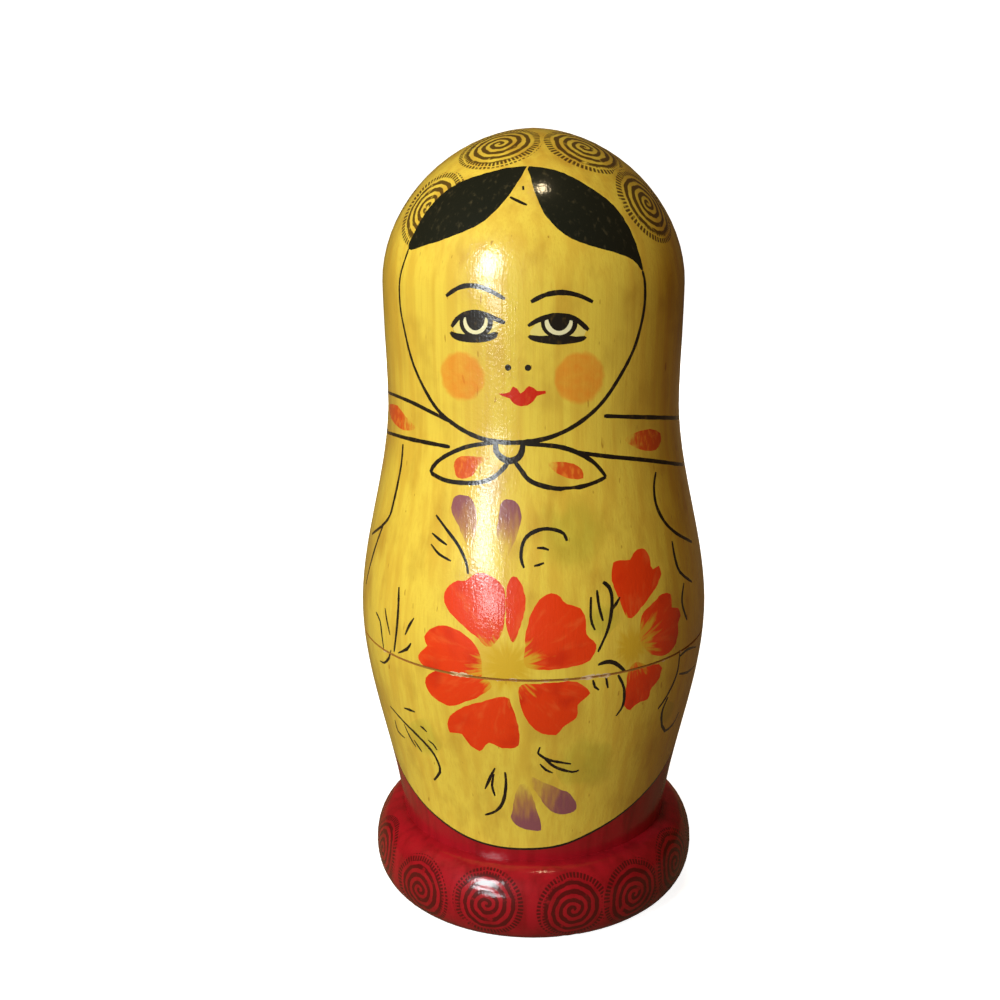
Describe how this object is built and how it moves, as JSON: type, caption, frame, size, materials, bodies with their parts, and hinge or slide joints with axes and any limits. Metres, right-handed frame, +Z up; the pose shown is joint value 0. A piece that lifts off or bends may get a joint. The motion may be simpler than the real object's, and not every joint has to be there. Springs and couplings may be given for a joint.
{
  "type": "nesting doll",
  "caption": "Turned wooden nesting doll with a rolled foot. Each hollow doll opens at the waist on a fitted lip and holds a smaller copy, down to a solid one.",
  "frame": {"origin": "centre of the flat face that the largest doll stands on", "axes": "+Z up along the turning axis, -Y towards the painted face, +X to the viewer's right"},
  "size_m": [0.0908, 0.0908, 0.2],
  "materials": {
    "upper_shell": "painted lime wood under clear gloss lacquer, yellow ochre",
    "lower_shell": "painted lime wood under clear gloss lacquer, crimson foot",
    "solid_doll": "painted lime wood under clear gloss lacquer, yellow ochre"
  },
  "bodies": {
    "outer_lower": {"outer_lower_half": "lower_shell"},
    "second_lower": {"second_lower_half": "lower_shell"},
    "third_lower": {"third_lower_half": "lower_shell"},
    "fourth_lower": {"fourth_lower_half": "lower_shell"},
    "fifth_lower": {"fifth_lower_half": "lower_shell"},
    "sixth_lower": {"sixth_lower_half": "lower_shell"},
    "innermost": {"innermost_doll": "solid_doll"},
    "sixth_upper": {"sixth_upper_half": "upper_shell"},
    "fifth_upper": {"fifth_upper_half": "upper_shell"},
    "fourth_upper": {"fourth_upper_half": "upper_shell"},
    "third_upper": {"third_upper_half": "upper_shell"},
    "second_upper": {"second_upper_half": "upper_shell"},
    "outer_upper": {"outer_upper_half": "upper_shell"}
  },
  "joints": [
    {"name": "second_doll_lift", "type": "slide", "parent": "outer_lower", "child": "second_lower", "axis": [0, 0, 1], "range_m": [0, 0.085]},
    {"name": "third_doll_lift", "type": "slide", "parent": "second_lower", "child": "third_lower", "axis": [0, 0, 1], "range_m": [0, 0.062]},
    {"name": "fourth_doll_lift", "type": "slide", "parent": "third_lower", "child": "fourth_lower", "axis": [0, 0, 1], "range_m": [0, 0.045]},
    {"name": "fifth_doll_lift", "type": "slide", "parent": "fourth_lower", "child": "fifth_lower", "axis": [0, 0, 1], "range_m": [0, 0.032]},
    {"name": "sixth_doll_lift", "type": "slide", "parent": "fifth_lower", "child": "sixth_lower", "axis": [0, 0, 1], "range_m": [0, 0.022]},
    {"name": "innermost_doll_lift", "type": "slide", "parent": "sixth_lower", "child": "innermost", "axis": [0, 0, 1], "range_m": [0, 0.015]},
    {"name": "sixth_top_lift", "type": "slide", "parent": "innermost", "child": "sixth_upper", "axis": [0, 0, 1], "range_m": [0, 0.012]},
    {"name": "fifth_top_lift", "type": "slide", "parent": "sixth_upper", "child": "fifth_upper", "axis": [0, 0, 1], "range_m": [0, 0.02]},
    {"name": "fourth_top_lift", "type": "slide", "parent": "fifth_upper", "child": "fourth_upper", "axis": [0, 0, 1], "range_m": [0, 0.032]},
    {"name": "third_top_lift", "type": "slide", "parent": "fourth_upper", "child": "third_upper", "axis": [0, 0, 1], "range_m": [0, 0.047]},
    {"name": "second_top_lift", "type": "slide", "parent": "third_upper", "child": "second_upper", "axis": [0, 0, 1], "range_m": [0, 0.067]},
    {"name": "outer_top_lift", "type": "slide", "parent": "second_upper", "child": "outer_upper", "axis": [0, 0, 1], "range_m": [0, 0.094]}
  ]
}
